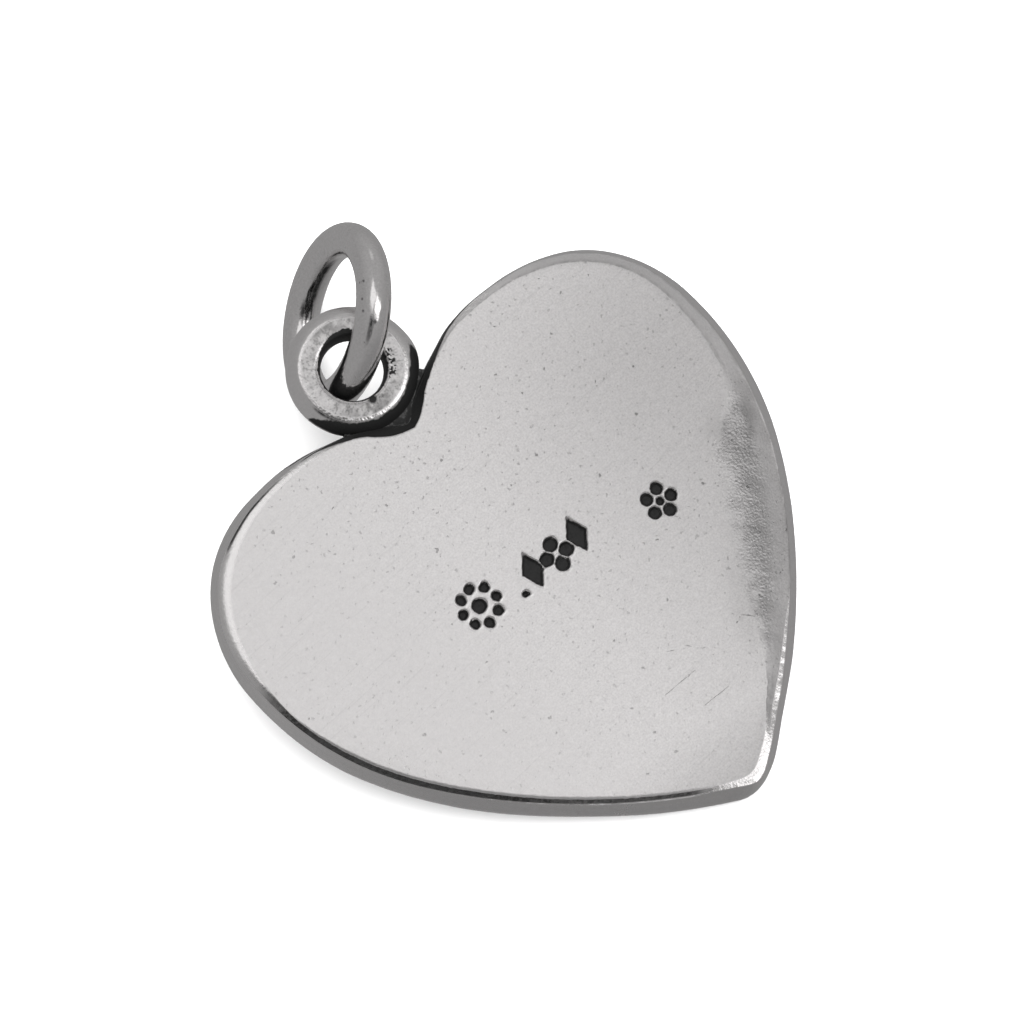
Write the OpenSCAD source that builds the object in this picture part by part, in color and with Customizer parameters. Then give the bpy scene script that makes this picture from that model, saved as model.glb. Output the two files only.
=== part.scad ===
// Heart charm in antiqued silver: a heart plate with a hanging loop soldered into its cleft, and
// the jump ring that runs through the loop. It lies on its front, back upwards, with its loop end
// lifted on the jump ring and its tip touching the surface. Millimetres; +Y runs from tip to loop.

/* [Heart outline, half of it from the tip to the cleft] */
// Radius of the rounded tip
tip_r = 1.3; // [1.1:0.1:1.5]
// Turn of the tip arc, degrees
tip_turn = 30; // [29.5:0.5:30.5]
// Radius of the long, nearly straight side
side_r = 22.5; // [21:0.5:24]
// Turn of the side arc, degrees
side_turn = 25.8; // [25:0.1:26.5]
// Radius of the flank that leads into the lobe
flank_r = 10; // [9.5:0.1:10.5]
// Turn of the flank arc, degrees
flank_turn = 38.4; // [37.5:0.1:39]
// Radius of the lobe
lobe_r = 4.7; // [4.4:0.1:5]
// Turn of the lobe arc, degrees
lobe_turn = 80.8; // [79:0.1:82]
// Radius of the arc that runs down into the cleft
top_r = 9; // [8:0.5:11]

/* [Plate] */
// Thickness of the plate
plate_t = 1.05; // [0.9:0.05:1.3]
// Height above the front face at which the plate is widest
widest_z = 0.35; // [0.25:0.05:0.45]
// How far the lower wall draws in towards the front face
base_in = 0.12; // [0.05:0.01:0.2]
// How far the upper wall draws in towards the back face
wall_in = 0.24; // [0.1:0.01:0.3]
// Width and height of the bevel round the back face
bevel = 0.1; // [0.05:0.01:0.15]

/* [Hanging loop] */
// Radius of the loop to the middle of its wire
loop_r = 1.57; // [1.52:0.01:1.65]
// Radius of the loop's wire
loop_wire_r = 0.56; // [0.5:0.01:0.57]
// Sideways place of the loop's centre
loop_x = -0.1; // [-0.15:0.01:0.05]
// Distance from the heart's tip to the loop's centre
tip_to_loop = 18.54; // [18.45:0.01:18.65]
// Height of the loop's centre above the front face
loop_z = 0.57; // [0.56:0.01:0.65]
// Height of the polished flat above the loop's centre
loop_flat = 0.5; // [0.45:0.01:0.55]
// Radius of the solder fillets in the two notches beside the loop
solder_r = 0.15; // [0.1:0.01:0.25]
// Height of the solder above the front face
solder_z = 0.8; // [0.7:0.05:0.95]

/* [Jump ring] */
// Radius of the ring to the middle of its wire
ring_r = 2.55; // [2.52:0.01:2.58]
// Radius of the ring's wire
ring_wire_r = 0.57; // [0.5:0.01:0.6]
// Place of the ring's centre from the loop's centre
ring_from_loop = [1.11, 1.74, -1.09];
// Tip of the ring's axis away from the plate's upright, degrees
ring_tip = 67; // [66.5:0.1:67.5]
// Turn of the tipped ring about the plate's upright, degrees
ring_turn = 134.2; // [133.5:0.1:135]

/* [Punched ornaments] */
// Depth of the ornaments in the back face
punch_d = 0.15; // [0.05:0.01:0.25]
// Turn of the ornaments, degrees
row_turn = -12; // [-15:1:-9]
// Place of the large rosette, from a point 11.05 mm above the tip
rosette_at = [-2.49, -0.84];
// Place of the dot
dot_at = [-1.15, -1.55];
// Places of the two lozenges
lozenges_at = [[-0.45, -1.14], [1.39, -1.24]];
// Place of the small four-leaf between the lozenges
leaf_at = [0.47, -1.28];
// Place of the blossom that stands apart
blossom_at = [4.09, -2.26];

/* [Lie on the surface] */
// Lean of the plate with its loop end up, degrees
lean = 9.43; // [9.3:0.01:9.6]

/* [Hidden] */
$fn = 96;
silver = [0.78, 0.78, 0.78];
tip_y = -11.05;
radii = [tip_r, side_r, flank_r, lobe_r, top_r];
turns = [tip_turn, side_turn, flank_turn, lobe_turn];
last = len(radii) - 1;
band = 1.2;
run_on = 4;
loop_c = [loop_x, tip_y + tip_to_loop, loop_z];
ring_c = loop_c + ring_from_loop;

// Heading of the outline where arc i starts; the last arc ends on the middle line, and its solid
// runs on a little way into the other half, so that the two walls meet in a clean cleft.
function heading(i) = i == 0 ? 0 : i <= last ? heading(i - 1) + turns[i - 1]
    : 180 + asin(centre(last)[0] / top_r);
function side_of(i) = [sin(heading(i)), -cos(heading(i))];
function centre(i) = i == 0 ? [0, tip_y + tip_r]
    : centre(i - 1) + (radii[i - 1] - radii[i]) * side_of(i);
function on_arc(i, share, inset) = let (a = heading(i) + share * (heading(i + 1) - heading(i)))
    centre(i) + (radii[i] - inset) * [sin(a), -cos(a)];
function flip(p) = [-p[0], p[1]];
function turned(p, a) = [p[0], p[1] * cos(a) - p[2] * sin(a), p[1] * sin(a) + p[2] * cos(a)];

// Where two circles cross, on the side of the first one's centre named by s.
function cross_at(c1, r1, c2, r2, s) =
    let (d = norm(c2 - c1), u = (c2 - c1) / d, a = (r1 * r1 - r2 * r2 + d * d) / (2 * d),
         h = sqrt(r1 * r1 - a * a))
    c1 + a * u + s * h * [-u[1], u[0]];

// The charm's height and place once it leans: tip edge and ring both reach down to the surface.
ring_axis = turned([sin(ring_tip) * cos(ring_turn), sin(ring_tip) * sin(ring_turn),
    cos(ring_tip)], lean);
ring_at = turned(ring_c, lean);
ring_low = ring_at[2] - ring_r * sqrt(1 - pow(ring_axis[2], 2)) - ring_wire_r;
ring_far = ring_at[1] + ring_r * sqrt(1 - pow(ring_axis[1], 2)) + ring_wire_r;
tip_low = turned([0, tip_y + base_in, 0], lean)[2];
tip_near = turned([0, tip_y, widest_z], lean)[1];
lift = -min(ring_low, tip_low);
middle_y = (ring_far + tip_near) / 2;

module rim_arc(i) {
    r = radii[i];
    translate(centre(i)) rotate(heading(i) - 90)
        rotate_extrude(angle = heading(i + 1) - heading(i) + (i == last ? run_on : 0))
            polygon([
                [r - band, 0], [r - base_in, 0], [r, widest_z],
                [r - wall_in, plate_t - bevel], [r - wall_in - bevel, plate_t], [r - band, plate_t]
            ]);
}

module core() {
    inset = band * 0.7;
    half = [for (i = [0 : last], k = [0 : 7]) on_arc(i, k / 8, inset)];
    cleft = [[0, on_arc(last, 1, 0)[1] - 0.9]];
    left = [for (k = [len(half) - 1 : -1 : 1]) flip(half[k])];
    linear_extrude(plate_t)
        polygon(concat(half, [on_arc(last, 1, inset)], cleft, [flip(on_arc(last, 1, inset))], left));
}

module loop() {
    translate(loop_c) rotate_extrude() intersection() {
        translate([loop_r, 0]) circle(loop_wire_r);
        translate([0, -2]) square([4, 2 + loop_flat]);
    }
}

// Solder between the loop and the cleft, with a small round in each notch.
module solder() {
    lc = [loop_c[0], loop_c[1]];
    hc = centre(last);
    reach = loop_r + loop_wire_r + solder_r;
    right = cross_at(lc, reach, hc, top_r + solder_r, 1);
    left = cross_at(lc, reach, flip(hc), top_r + solder_r, -1);
    depth = solder_r + 1;
    translate([0, 0, 0.1]) linear_extrude(solder_z - 0.1) difference() {
        polygon([
            lc, left, left + depth * (flip(hc) - left) / norm(flip(hc) - left),
            right + depth * (hc - right) / norm(hc - right), right
        ]);
        translate(right) circle(solder_r);
        translate(left) circle(solder_r);
        translate(lc) circle(loop_r);
    }
}

module at_face(p) {
    translate([p[0], p[1], plate_t - punch_d]) rotate(row_turn) linear_extrude(1) children();
}

module petals(count, r, petal_r) {
    for (k = [0 : count - 1]) rotate(360 * k / count) translate([r, 0]) circle(petal_r);
}

module lozenge(w, h) {
    polygon([[-w / 2, 0], [0, -h / 2], [w / 2, 0], [0, h / 2]]);
}

module ornaments() {
    at_face(rosette_at) { petals(8, 0.62, 0.17); circle(0.24); }
    at_face(dot_at) circle(0.12);
    for (p = lozenges_at) at_face(p) lozenge(0.75, 1.25);
    at_face(leaf_at) petals(4, 0.36, 0.24);
    at_face(blossom_at) { petals(5, 0.42, 0.21); circle(0.14); }
}

module in_place() {
    translate([0, -middle_y, lift]) rotate([lean, 0, 0]) children();
}

module heart_plate() {
    color(silver) in_place() difference() {
        union() {
            for (i = [0 : last]) { rim_arc(i); mirror([1, 0, 0]) rim_arc(i); }
            core();
            loop();
            solder();
        }
        ornaments();
    }
}

module jump_ring() {
    color(silver) in_place() translate(ring_c) rotate([0, ring_tip, ring_turn])
        rotate_extrude() translate([ring_r, 0]) circle(ring_wire_r);
}

heart_plate();
jump_ring();
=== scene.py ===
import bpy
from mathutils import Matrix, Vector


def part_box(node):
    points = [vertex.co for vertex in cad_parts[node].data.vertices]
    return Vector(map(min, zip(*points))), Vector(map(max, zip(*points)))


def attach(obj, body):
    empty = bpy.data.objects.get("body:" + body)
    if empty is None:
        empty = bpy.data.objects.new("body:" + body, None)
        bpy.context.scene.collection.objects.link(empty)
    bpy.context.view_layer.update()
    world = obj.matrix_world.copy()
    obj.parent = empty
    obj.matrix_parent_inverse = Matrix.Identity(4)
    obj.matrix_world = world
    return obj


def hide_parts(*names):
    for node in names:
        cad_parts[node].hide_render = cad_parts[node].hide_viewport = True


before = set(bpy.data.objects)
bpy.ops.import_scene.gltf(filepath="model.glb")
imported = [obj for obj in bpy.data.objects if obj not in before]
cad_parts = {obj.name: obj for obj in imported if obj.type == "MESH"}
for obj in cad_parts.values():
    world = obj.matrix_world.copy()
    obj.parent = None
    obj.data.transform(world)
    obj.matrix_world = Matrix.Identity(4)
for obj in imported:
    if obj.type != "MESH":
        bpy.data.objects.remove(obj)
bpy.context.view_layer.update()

from types import SimpleNamespace

import bpy
import numpy as np
from mathutils import Matrix, Vector


# Heart plate. A flat heart cast in silver with a slightly drafted wall. Its back face was lapped
# flat on a wheel, which left a narrow edge round it and a wide matt roll-off along one side.
# Small ornaments were struck into the back with punches and blackened before the last polish.
MM = 0.001

# How the plate leans as it lies. Then its sizes in millimetres, with its front face at height 0: its
# thickness, the height of its widest line, the rounding of its foot, where its tip is, and the half
# outline's arcs from the tip to the cleft, by radius and by turn.
LEAN = np.radians(9.43)
PLATE_T = 1.05
WIDEST_Z = 0.35
BASE_IN = 0.12
TIP_Y = -11.05
ARC_RADII = np.array([1.3, 22.5, 10.0, 4.7, 9.0])
ARC_TURNS = np.radians([30.0, 25.8, 38.4, 80.8])

# How far the hand-filed outline strays outwards from its arcs: distance from the tip, and the stray.
STRAY_RIGHT = np.array([
    [0.0, 0.0], [0.5, 0.0], [1.1, 0.085], [1.5, 0.07], [2.5, 0.01], [3.5, 0.02], [4.5, 0.055],
    [7.5, 0.06], [9.5, 0.055], [10.5, 0.025], [11.5, -0.005], [14.0, -0.01], [15.5, -0.003],
    [17.5, -0.003], [18.5, -0.012], [20.5, 0.01], [21.5, -0.02], [22.5, -0.09], [23.5, -0.12],
    [24.5, -0.10], [25.5, -0.045], [26.5, -0.045], [27.3, -0.14], [28.2, -0.17], [29.2, -0.04],
    [29.9, 0.0],
])
STRAY_LEFT = np.array([
    [0.0, 0.0], [3.5, -0.005], [4.5, -0.025], [5.5, -0.034], [6.5, -0.023], [8.5, 0.022],
    [9.5, 0.03], [11.5, -0.014], [12.5, -0.011], [13.5, 0.015], [15.0, 0.01], [16.0, -0.003],
    [17.5, -0.01], [18.5, -0.033], [19.5, -0.031], [21.5, 0.02], [23.5, 0.007], [24.5, 0.0],
    [25.5, 0.02], [26.5, -0.01], [27.5, -0.08], [29.0, -0.03], [29.9, 0.0],
])

# The edge at stations along each side: distance from the tip, inset of the wall's top, inset where
# the ledge beside it ends, inset where the flat face starts, the ledge's fall, the fall from the
# face to the ledge, and the power of that fall's curve.
EDGE_RIGHT = np.array([
    [0.0, 0.13, 0.32, 0.52, 0.034, 0.012, 1.0],
    [1.0, 0.15, 0.31, 0.48, 0.028, 0.012, 1.0],
    [1.6, 0.18, 0.30, 0.46, 0.021, 0.012, 1.0],
    [2.5, 0.21, 0.42, 0.60, 0.030, 0.080, 1.0],
    [3.5, 0.21, 0.40, 0.72, 0.028, 0.130, 1.0],
    [4.5, 0.23, 0.38, 1.00, 0.022, 0.170, 1.4],
    [5.5, 0.23, 0.33, 1.45, 0.017, 0.220, 1.6],
    [6.5, 0.20, 0.23, 1.85, 0.015, 0.280, 1.6],
    [7.5, 0.18, 0.20, 2.10, 0.015, 0.330, 1.6],
    [9.0, 0.19, 0.21, 2.40, 0.015, 0.370, 1.6],
    [10.5, 0.25, 0.29, 2.55, 0.012, 0.390, 1.7],
    [11.8, 0.29, 0.33, 2.60, 0.010, 0.345, 1.8],
    [12.6, 0.33, 0.38, 2.15, 0.012, 0.270, 1.9],
    [13.4, 0.36, 0.41, 1.30, 0.012, 0.185, 1.4],
    [14.4, 0.37, 0.43, 0.92, 0.014, 0.125, 1.2],
    [15.4, 0.37, 0.43, 0.84, 0.014, 0.100, 1.1],
    [16.4, 0.37, 0.43, 0.80, 0.014, 0.090, 1.1],
    [18.0, 0.36, 0.42, 0.73, 0.013, 0.080, 1.1],
    [20.0, 0.28, 0.33, 0.60, 0.010, 0.080, 1.1],
    [23.0, 0.27, 0.31, 0.58, 0.010, 0.070, 1.1],
    [24.5, 0.24, 0.27, 0.47, 0.008, 0.050, 1.1],
    [25.5, 0.16, 0.19, 0.39, 0.005, 0.050, 1.1],
    [26.5, 0.15, 0.17, 0.30, 0.005, 0.040, 1.1],
    [27.0, 0.20, 0.22, 0.34, 0.005, 0.040, 1.1],
    [27.8, 0.24, 0.26, 0.39, 0.005, 0.050, 1.0],
    [28.5, 0.27, 0.29, 0.46, 0.010, 0.240, 0.9],
    [29.0, 0.28, 0.30, 0.50, 0.010, 0.310, 0.9],
    [29.3, 0.30, 0.32, 0.65, 0.010, 0.330, 0.9],
    [29.7, 0.30, 0.32, 0.71, 0.010, 0.330, 0.9],
    [30.0, 0.30, 0.32, 0.58, 0.010, 0.330, 0.9],
])
EDGE_LEFT = np.array([
    [0.0, 0.13, 0.32, 0.52, 0.034, 0.012, 1.0],
    [0.5, 0.27, 0.46, 0.54, 0.022, 0.004, 1.0],
    [1.0, 0.28, 0.42, 0.50, 0.018, 0.006, 1.0],
    [1.6, 0.29, 0.35, 0.45, 0.010, 0.020, 1.0],
    [2.2, 0.26, 0.32, 0.43, 0.012, 0.090, 0.9],
    [6.0, 0.26, 0.31, 0.42, 0.012, 0.110, 0.9],
    [9.5, 0.24, 0.27, 0.40, 0.010, 0.140, 0.9],
    [12.0, 0.24, 0.27, 0.42, 0.010, 0.140, 0.9],
    [14.0, 0.22, 0.24, 0.38, 0.010, 0.130, 0.9],
    [15.5, 0.20, 0.22, 0.36, 0.010, 0.110, 1.1],
    [17.0, 0.19, 0.21, 0.48, 0.010, 0.090, 1.9],
    [18.5, 0.19, 0.21, 0.66, 0.010, 0.085, 2.5],
    [21.5, 0.20, 0.22, 0.68, 0.010, 0.085, 2.6],
    [23.0, 0.28, 0.32, 0.65, 0.010, 0.045, 2.3],
    [24.5, 0.26, 0.30, 0.55, 0.010, 0.030, 2.0],
    [25.5, 0.24, 0.27, 0.49, 0.010, 0.030, 2.0],
    [26.5, 0.20, 0.23, 0.42, 0.010, 0.035, 1.6],
    [27.2, 0.20, 0.22, 0.37, 0.005, 0.040, 1.2],
    [27.8, 0.20, 0.22, 0.36, 0.005, 0.070, 1.0],
    [28.3, 0.22, 0.24, 0.40, 0.010, 0.200, 0.9],
    [28.9, 0.28, 0.30, 0.60, 0.010, 0.300, 0.9],
    [29.3, 0.30, 0.32, 0.71, 0.010, 0.330, 0.9],
    [29.7, 0.30, 0.32, 0.70, 0.010, 0.330, 0.9],
    [30.0, 0.30, 0.32, 0.58, 0.010, 0.330, 0.9],
])

# The field that holds the ornaments lies along their row: its turn, its ends along and across the
# row, and the step of its fine grid. Then where each ornament lies, and its size: how many petals
# stand on a ring, that ring's radius and a petal's; a round middle's radius; a lozenge's half sizes.
ROW_TURN = np.radians(-12.0)
FIELD_X = (-3.25, 5.22)
FIELD_Y = (-2.25, -0.20)
FIELD_STEP = 0.025
PUNCH_D = 0.15
ROSETTE_AT = (-2.49, -0.84)
ROSETTE_PETALS = (8, 0.62, 0.17)
ROSETTE_MIDDLE = 0.24
DOT_AT = (-1.15, -1.55)
DOT_R = 0.12
LOZENGES_AT = ((-0.45, -1.14), (1.39, -1.24))
LOZENGE_HALF = (0.375, 0.625)
LEAF_AT = (0.47, -1.28)
LEAF_PETALS = (4, 0.36, 0.24)
BLOSSOM_AT = (4.09, -2.26)
BLOSSOM_PETALS = (5, 0.42, 0.21)
BLOSSOM_MIDDLE = 0.14

# How the rings of points meet the field: how many columns lie from its upper right corner to the
# cleft, and how far from the tip the outline is joined to its corners. The corner nearer the tip
# comes first on the right and last on the left.
TO_CLEFT = 208
CORNERS_RIGHT = (9.3, 12.1)
CORNERS_LEFT = (18.5, 13.3)

# Where the rings lie: on the way from the field to the face's edge, across the pillow beside that
# edge, over the bevel, across the ledge, down the wall, round the foot and in across the front. Then
# the pillow's usual width, and its fall as a share of the width.
BLEND_AT = (0.0, 0.06, 0.14, 0.25, 0.4, 0.55, 0.7, 0.82, 0.9, 0.96, 0.985, 1.0)
PILLOW_AT = (0.7, 0.4, 0.15, 0.0)
BEVEL_RINGS = 36
LEDGE_AT = (0.8, 0.6, 0.4, 0.2, 0.0)
WALL_AT = (0.04, 0.12, 0.26, 0.42, 0.6, 0.72, 0.84, 1.0)
FOOT_AT = np.radians([18.0, 36.0, 54.0, 72.0, 90.0])
FRONT_AT = (0.97, 0.9, 0.75, 0.5, 0.25)
PILLOW_IN = 0.3
PILLOW_FALL = 0.032

# Blackening at distances from the tip: its strength on the left bevel, and the share of the wall's
# depth below which each side is black.
BLACK_BEVEL_LEFT = np.array([
    [1.6, 0.0], [2.3, 0.46], [6.0, 0.47], [7.5, 0.54], [9.0, 0.62], [15.0, 0.62], [16.0, 0.52],
    [17.3, 0.0],
])
BLACK_WALL_RIGHT = np.array([[24.0, 1.1], [24.8, 0.6], [25.6, 0.1], [26.4, -0.2]])
BLACK_WALL_LEFT = np.array([
    [25.2, 1.1], [25.9, 0.6], [26.5, 0.4], [27.2, 0.3], [27.8, 0.0], [28.2, -0.3],
])

# The silver's finish: how strong blackening may be and still be soft tarnish and painted shade,
# the black's tone and roughness, and the roughness of the matt ground.
TARNISH_AND_SHADE_LIMIT = 0.3
BLACK_TONE = 0.006
BLACK_ROUGH = 0.55
MATT_ROUGH = 0.30


def smooth(low, high, x):
    """Rises from 0 at low to 1 at high, along 3 t squared minus 2 t cubed; low may be the larger."""
    t = np.clip((x - low) / (high - low), 0.0, 1.0)
    return t * t * (3.0 - 2.0 * t)


def hill(x, middle, width):
    """A bell, 1 at the middle: e to the power of minus the square of the distance over the width."""
    return np.exp(-((x - middle) / width) ** 2)


def lattice(u, v, seed):
    """Smooth noise from 0 to 1: random values at whole-numbered points of u and v, repeating every 64,
    blended in between along 3 t squared minus 2 t cubed."""
    grid = np.random.default_rng(seed).random((64, 64))
    i, j = np.floor(u).astype(int), np.floor(v).astype(int)
    fu, fv = smooth(0.0, 1.0, u - i), smooth(0.0, 1.0, v - j)
    i, j, i2, j2 = i % 64, j % 64, (i + 1) % 64, (j + 1) % 64
    low = grid[i, j] * (1.0 - fu) + grid[i2, j] * fu
    high = grid[i, j2] * (1.0 - fu) + grid[i2, j2] * fu
    return low * (1.0 - fv) + high * fv


def lie_down(points):
    """Plate millimetres to the frame's metres: turned by the lean about X, then set down so that the
    tip's lowest and nearest edges meet the lowest and nearest sides of the CAD plate's box."""
    c, s = np.cos(LEAN), np.sin(LEAN)
    turned = points @ np.array([[1.0, 0.0, 0.0], [0.0, c, s], [0.0, -s, c]])
    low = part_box("heart_plate")[0]
    tip_near = TIP_Y * c - WIDEST_Z * s
    tip_low = (TIP_Y + BASE_IN) * s
    return turned * MM + np.array([0.0, low.y - tip_near * MM, low.z - tip_low * MM])


def heart_arcs():
    """For each of the half outline's five arcs: the heading and the distance from the tip where it
    starts, and its centre; then the length of the half outline. Each arc is tangent to the one
    before, and the last ends on the middle line."""
    headings = np.concatenate([[0.0], np.cumsum(ARC_TURNS)])
    centres = np.zeros((5, 2))
    centres[0] = (0.0, TIP_Y + ARC_RADII[0])
    for i in range(1, 5):
        out = np.array([np.sin(headings[i]), -np.cos(headings[i])])
        centres[i] = centres[i - 1] + (ARC_RADII[i - 1] - ARC_RADII[i]) * out
    last_turn = np.pi + np.arcsin(centres[4, 0] / ARC_RADII[4]) - headings[4]
    ends = np.cumsum(ARC_RADII * np.append(ARC_TURNS, last_turn))
    return headings, np.concatenate([[0.0], ends[:-1]]), centres, ends[-1]


def heart_outline(at):
    """The outline at distances from the tip, counted up the right side, over the cleft and down the
    left: points, inward lines, distance from the tip along the nearer side, and side. A point is its
    arc's centre plus the radius times the sine and minus the cosine of the heading there, moved out
    by the side's stray. Near the cleft the inward line turns to straight down, which rounds its
    corner."""
    headings, starts, centres, half = heart_arcs()
    along = np.minimum(at, 2.0 * half - at)
    side = np.where(at <= half, 1.0, -1.0)
    arc = np.searchsorted(starts[1:], along)
    heading = headings[arc] + (along - starts[arc]) / ARC_RADII[arc]
    out = np.column_stack([np.sin(heading), -np.cos(heading)])
    mirror = np.column_stack([side, np.ones(len(at))])
    stray = eased(along, side, STRAY_RIGHT, STRAY_LEFT)[0]
    points = (centres[arc] + (ARC_RADII[arc] + stray)[:, None] * out) * mirror
    turn_down = smooth(0.9, 0.0, half - along)[:, None]
    inward = -out * mirror * (1.0 - turn_down) + np.array([0.0, -1.0]) * turn_down
    return points, inward / np.linalg.norm(inward, axis=1, keepdims=True), along, side


def eased(along, side, right_table, left_table):
    """The tables' columns at these places: the mean of the straight lines between stations over five
    places within a quarter millimetre, which rounds the corners at the stations."""
    values = []
    for k in range(1, right_table.shape[1]):
        near = [along + step for step in (-0.24, -0.12, 0.0, 0.12, 0.24)]
        right = np.mean([np.interp(s, right_table[:, 0], right_table[:, k]) for s in near], axis=0)
        left = np.mean([np.interp(s, left_table[:, 0], left_table[:, k]) for s in near], axis=0)
        values.append(np.where(side > 0.0, right, left))
    return values


def petals(x, y, count, ring, radius):
    """Distance to a ring of round petals: the point is folded into one petal's sector, then it is its
    distance from that petal's centre minus the petal's radius."""
    sector = 2.0 * np.pi / count
    angle = np.mod(np.arctan2(y, x) + sector / 2.0, sector) - sector / 2.0
    reach = np.hypot(x, y)
    return np.hypot(reach * np.cos(angle) - ring, reach * np.sin(angle)) - radius


def punch_distance(x, y):
    """Distance to the nearest ornament's outline, negative inside, in plate millimetres: the least of
    the distances to them all. For a lozenge it is 0.32 of how far the sum of the shares of its half
    sizes goes past one."""
    c, s = np.cos(ROW_TURN), np.sin(ROW_TURN)

    def local(at):
        dx, dy = x - at[0], y - at[1]
        return dx * c + dy * s, dy * c - dx * s

    rosette, blossom = local(ROSETTE_AT), local(BLOSSOM_AT)
    found = [
        petals(*rosette, *ROSETTE_PETALS), np.hypot(*rosette) - ROSETTE_MIDDLE,
        petals(*blossom, *BLOSSOM_PETALS), np.hypot(*blossom) - BLOSSOM_MIDDLE,
        petals(*local(LEAF_AT), *LEAF_PETALS),
        np.hypot(*local(DOT_AT)) - DOT_R,
    ]
    for at in LOZENGES_AT:
        zx, zy = local(at)
        beyond = np.abs(zx) / LOZENGE_HALF[0] + np.abs(zy) / LOZENGE_HALF[1] - 1.0
        found.append(0.32 * beyond)
    return np.minimum.reduce(found)


def punch_height(x, y):
    """The back face round the ornaments: each sinks by the punch depth over a narrow sloping wall. A
    low burr stands up just outside, and on the side away from the tip a soft shoulder leads in."""
    uneven = 0.05 * (lattice(6.0 * x, 6.0 * y, 5) - 0.5) + 0.03 * (
        lattice(15.0 * x, 15.0 * y, 7) - 0.5)
    gap = punch_distance(x, y) + uneven
    facing = np.clip((punch_distance(x, y + 0.02) - punch_distance(x, y - 0.02)) / 0.04, 0.0, 1.0)
    sunk = PUNCH_D * smooth(0.03, -0.07, gap) * (0.9 + 0.2 * lattice(12.0 * x, 12.0 * y, 6))
    shoulder = 0.014 * facing * smooth(0.11, 0.0, gap)
    burr = 0.008 * hill(gap, 0.045, 0.03)
    return np.minimum(PLATE_T - sunk - shoulder + burr, PLATE_T + 0.012)


def add_piece(name, points, faces, material, blackened_and_shade, burnished):
    """A mesh object at the origin with smooth faces, its blackening, which on the plate also holds
    painted shade, and its burnish per point.
    """
    mesh = bpy.data.meshes.new(name)
    mesh.from_pydata(lie_down(points), [], faces)
    mesh.update()
    mesh.shade_smooth()
    for label, values in (("blackened_and_shade", blackened_and_shade), ("burnished", burnished)):
        layer = mesh.attributes.new(label, "FLOAT", "POINT")
        layer.data.foreach_set("value", np.ascontiguousarray(values, np.float32))
    mesh.materials.append(material)
    piece = bpy.data.objects.new(name, mesh)
    bpy.context.scene.collection.objects.link(piece)
    return piece


class Sock:
    """A shader socket whose operators add Math nodes, so that sums read as sums."""

    def __init__(self, tree, socket):
        self.tree, self.socket = tree, socket

    def node(self, kind, inputs=None, **settings):
        """Adds a node of this kind, sets it up, then fills its inputs with values or links."""
        made = self.tree.nodes.new(kind)
        for key, value in settings.items():
            setattr(made, key, value)
        for key, value in (inputs or {}).items():
            if isinstance(value, Sock):
                self.tree.links.new(value.socket, made.inputs[key])
            else:
                made.inputs[key].default_value = value
        return made

    def out(self, kind, output, inputs=None, **settings):
        return Sock(self.tree, self.node(kind, inputs, **settings).outputs[output])

    def math(self, operation, *values, clamp=False):
        filled = dict(enumerate(values))
        return self.out("ShaderNodeMath", 0, filled, operation=operation, use_clamp=clamp)

    def __add__(self, other):
        return self.math("ADD", self, other)

    def __radd__(self, other):
        return self.math("ADD", other, self)

    def __sub__(self, other):
        return self.math("SUBTRACT", self, other)

    def __rsub__(self, other):
        return self.math("SUBTRACT", other, self)

    def __mul__(self, other):
        return self.math("MULTIPLY", self, other)

    def __rmul__(self, other):
        return self.math("MULTIPLY", other, self)

    def __truediv__(self, other):
        return self.math("DIVIDE", self, other)

    def __rtruediv__(self, other):
        return self.math("DIVIDE", other, self)

    def max(self, other):
        return self.math("MAXIMUM", self, other)

    def min(self, other):
        return self.math("MINIMUM", self, other)

    def step(self, low, high):
        """0 at low, 1 at high, smooth between; low may be the larger."""
        return self.out("ShaderNodeMapRange", 0, {0: self, 1: low, 2: high},
                        interpolation_type="SMOOTHSTEP")

    def mix(self, first, second):
        """The colour that goes from first to second as this value goes from 0 to 1."""
        return self.out("ShaderNodeMix", 2, {0: self, 6: first, 7: second}, data_type="RGBA")

    def noise(self, scale, detail=2.0, rough=0.5):
        return self.out("ShaderNodeTexNoise", 0, {
            "Vector": self, "Scale": scale, "Detail": detail, "Roughness": rough})

    def wander(self, scale, detail):
        """A vector that wanders smoothly by up to a half either way on each axis."""
        colour = self.out("ShaderNodeTexNoise", 1, {"Vector": self, "Scale": scale, "Detail": detail})
        return self.vector("SUBTRACT", colour, (0.5, 0.5, 0.5))

    def vector(self, operation, *values):
        return self.out("ShaderNodeVectorMath", 0, dict(enumerate(values)), operation=operation)

    def measure(self, operation, *values):
        """The number, not the vector, that a Vector Math node gives, such as a dot product."""
        return self.out("ShaderNodeVectorMath", "Value", dict(enumerate(values)), operation=operation)

    def cells(self, scale, output="Distance"):
        return self.out("ShaderNodeTexVoronoi", output, {"Vector": self, "Scale": scale},
                        voronoi_dimensions="2D")

    def scaled(self, scale):
        """These coordinates times a factor for each axis."""
        return self.out("ShaderNodeMapping", 0, {"Vector": self, "Scale": scale})


def grey(value):
    return (value, value, value, 1.0)


def scratch(at, start, end, width, waver):
    """1 on a straight scratch between two points of the plate and 0 beside it: the distance from the
    point to its nearest point on the segment, with the coordinates first wavered by a noise."""
    first, last = (lie_down(np.array([[x, y, PLATE_T]]))[0] / MM for x, y in (start, end))
    run = last - first
    moved = at.vector("MULTIPLY_ADD", at.wander(2.2, 2.0), (waver, waver, waver), at)
    off = at.vector("SUBTRACT", moved, tuple(first))
    share = at.math("ADD", at.measure("DOT_PRODUCT", off, tuple(run / (run @ run))), 0.0, clamp=True)
    across = at.vector("MULTIPLY_ADD", tuple(-run), share, off)
    return at.measure("LENGTH", across).step(width, 0.0)


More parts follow.
